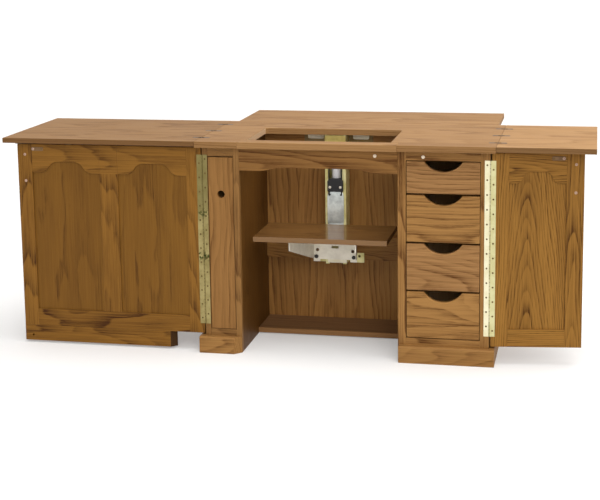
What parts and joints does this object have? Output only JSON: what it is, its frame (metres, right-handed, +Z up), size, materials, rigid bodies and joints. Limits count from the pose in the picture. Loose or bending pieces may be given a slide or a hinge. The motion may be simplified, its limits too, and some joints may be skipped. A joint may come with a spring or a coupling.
{
  "type": "sewing desk",
  "caption": "Oak sewing desk shown fully open: kneehole cabinet, columns with drawers and pull-out, hinged doors, folding leaves and a machine lift.",
  "frame": {"origin": "on the floor, under the middle of the opened desk's outline", "axes": "+X along the desk to the right leaf, +Y from the drawers' side to the back, +Z up"},
  "size_m": [2.0826, 0.8508, 0.762],
  "materials": {
    "oak_top": "honey-stained oak, satin lacquer",
    "oak_frame": "honey-stained oak, satin lacquer",
    "oak_inner": "stained oak ply, satin lacquer",
    "oak_door": "honey-stained oak, satin lacquer",
    "oak_panel": "honey-stained oak veneer panel",
    "oak_drawer": "honey-stained oak, satin lacquer",
    "drawer_wood": "pale birch, clear lacquer",
    "platform_board": "gloss oak laminate",
    "hinge_brass": "bright brass plate",
    "table_brass": "satin brass",
    "rear_hardware": "antique brass",
    "stay_wood": "honey-stained oak",
    "track_steel": "cream chromate on steel",
    "cylinder_paint": "white paint",
    "block_plastic": "black moulded plastic",
    "cover_zinc": "zinc plate",
    "carriage_steel": "cream chromate on steel",
    "screw_steel": "plated steel",
    "pull_bronze": "oil-rubbed bronze"
  },
  "bodies": {
    "cabinet": {"centre_top": "oak_top", "front_strip": "oak_top", "left_side_panel": "oak_frame", "right_side_panel": "oak_frame", "left_inner_panel": "oak_inner", "right_inner_panel": "oak_inner", "left_face_frame": "oak_frame", "right_face_frame": "oak_frame", "back_panel": "oak_inner", "back_rails": "oak_inner", "kneehole_shelf": "oak_inner", "column_floors": "oak_inner", "plinths": "oak_frame", "apron": "oak_frame", "top_cleats": "oak_inner", "drawer_runners": "drawer_wood", "lift_track": "track_steel", "lift_cylinder": "cylinder_paint", "lift_block": "block_plastic", "lift_cover_plate": "cover_zinc", "left_hinge_plate": "hinge_brass", "right_hinge_plate": "hinge_brass", "hinge_pins": "hinge_brass", "cabinet_screws": "screw_steel", "door_magnets": "screw_steel", "top_hinge_plates": "table_brass", "rear_hinge_plates": "rear_hardware", "stay_rests": "oak_inner"},
    "door_left": {"left_door_frame": "oak_door", "left_door_panels": "oak_panel", "left_door_skirt": "oak_door", "left_door_pull": "pull_bronze", "left_door_fittings": "screw_steel", "left_door_hinge_leaf": "hinge_brass"},
    "door_right": {"right_door_frame": "oak_door", "right_door_panel": "oak_panel", "right_door_pull": "pull_bronze", "right_door_fittings": "screw_steel", "right_door_hinge_leaf": "hinge_brass"},
    "leaf_left": {"left_leaf": "oak_top", "left_leaf_fittings": "table_brass"},
    "leaf_right": {"right_leaf": "oak_top", "right_leaf_fittings": "table_brass"},
    "links_left": {"left_hinge_links": "table_brass"},
    "links_right": {"right_hinge_links": "table_brass"},
    "leaf_rear": {"rear_leaf": "oak_top", "rear_leaf_hinges": "rear_hardware"},
    "stays": {"rear_stays": "stay_wood"},
    "drawer_1": {"drawer_1_front": "oak_drawer", "drawer_1_box": "drawer_wood"},
    "drawer_2": {"drawer_2_front": "oak_drawer", "drawer_2_box": "drawer_wood"},
    "drawer_3": {"drawer_3_front": "oak_drawer", "drawer_3_box": "drawer_wood"},
    "drawer_4": {"drawer_4_front": "oak_drawer", "drawer_4_box": "drawer_wood"},
    "pull_out": {"pull_out_front": "oak_drawer", "pull_out_rack": "drawer_wood"},
    "lift": {"lift_platform": "platform_board", "lift_carriage": "carriage_steel"}
  },
  "joints": [
    {"name": "left_door_swing", "type": "hinge", "parent": "cabinet", "child": "door_left", "pos_m": [-0.3105, -0.398, 0.4068], "axis": [0, 0, -1], "range_deg": [-180, 0]},
    {"name": "right_door_swing", "type": "hinge", "parent": "cabinet", "child": "door_right", "pos_m": [0.6935, -0.398, 0.4068], "axis": [0, 0, 1], "range_deg": [-187, 0]},
    {"name": "left_leaf_fold", "type": "hinge", "parent": "cabinet", "child": "leaf_left", "pos_m": [-0.3299, -0.1624, 0.7626], "axis": [0, -1, 0], "range_deg": [-180, 0]},
    {"name": "right_leaf_fold", "type": "hinge", "parent": "cabinet", "child": "leaf_right", "pos_m": [0.7129, -0.1624, 0.7626], "axis": [0, 1, 0], "range_deg": [-180, 0]},
    {"name": "left_link_turn", "type": "hinge", "parent": "cabinet", "child": "links_left", "pos_m": [-0.3229, -0.1624, 0.7556], "axis": [0, -1, 0], "range_deg": [-90, 0]},
    {"name": "right_link_turn", "type": "hinge", "parent": "cabinet", "child": "links_right", "pos_m": [0.7059, -0.1624, 0.7556], "axis": [0, 1, 0], "range_deg": [-90, 0]},
    {"name": "rear_leaf_fold", "type": "hinge", "parent": "cabinet", "child": "leaf_rear", "pos_m": [0.1915, 0.101, 0.7375], "axis": [1, 0, 0], "range_deg": [-90, 0]},
    {"name": "stay_turn", "type": "hinge", "parent": "leaf_rear", "child": "stays", "pos_m": [0.1915, 0.21106, 0.73], "axis": [1, 0, 0], "range_deg": [0, 135]},
    {"name": "drawer_1_slide", "type": "slide", "parent": "cabinet", "child": "drawer_1", "axis": [0, -1, 0], "range_m": [0, 0.3]},
    {"name": "drawer_2_slide", "type": "slide", "parent": "cabinet", "child": "drawer_2", "axis": [0, -1, 0], "range_m": [0, 0.3]},
    {"name": "drawer_3_slide", "type": "slide", "parent": "cabinet", "child": "drawer_3", "axis": [0, -1, 0], "range_m": [0, 0.3]},
    {"name": "drawer_4_slide", "type": "slide", "parent": "cabinet", "child": "drawer_4", "axis": [0, -1, 0], "range_m": [0, 0.3]},
    {"name": "pull_out_slide", "type": "slide", "parent": "cabinet", "child": "pull_out", "axis": [0, -1, 0], "range_m": [0, 0.3]},
    {"name": "lift_slide", "type": "slide", "parent": "cabinet", "child": "lift", "axis": [0, 0, 1], "range_m": [0, 0.346]}
  ],
  "couplings": [
    {"joint": "left_link_turn", "follows": "left_leaf_fold", "ratio": 0.5},
    {"joint": "right_link_turn", "follows": "right_leaf_fold", "ratio": 0.5},
    {"joint": "stay_turn", "follows": "rear_leaf_fold", "ratio": -1.5}
  ]
}
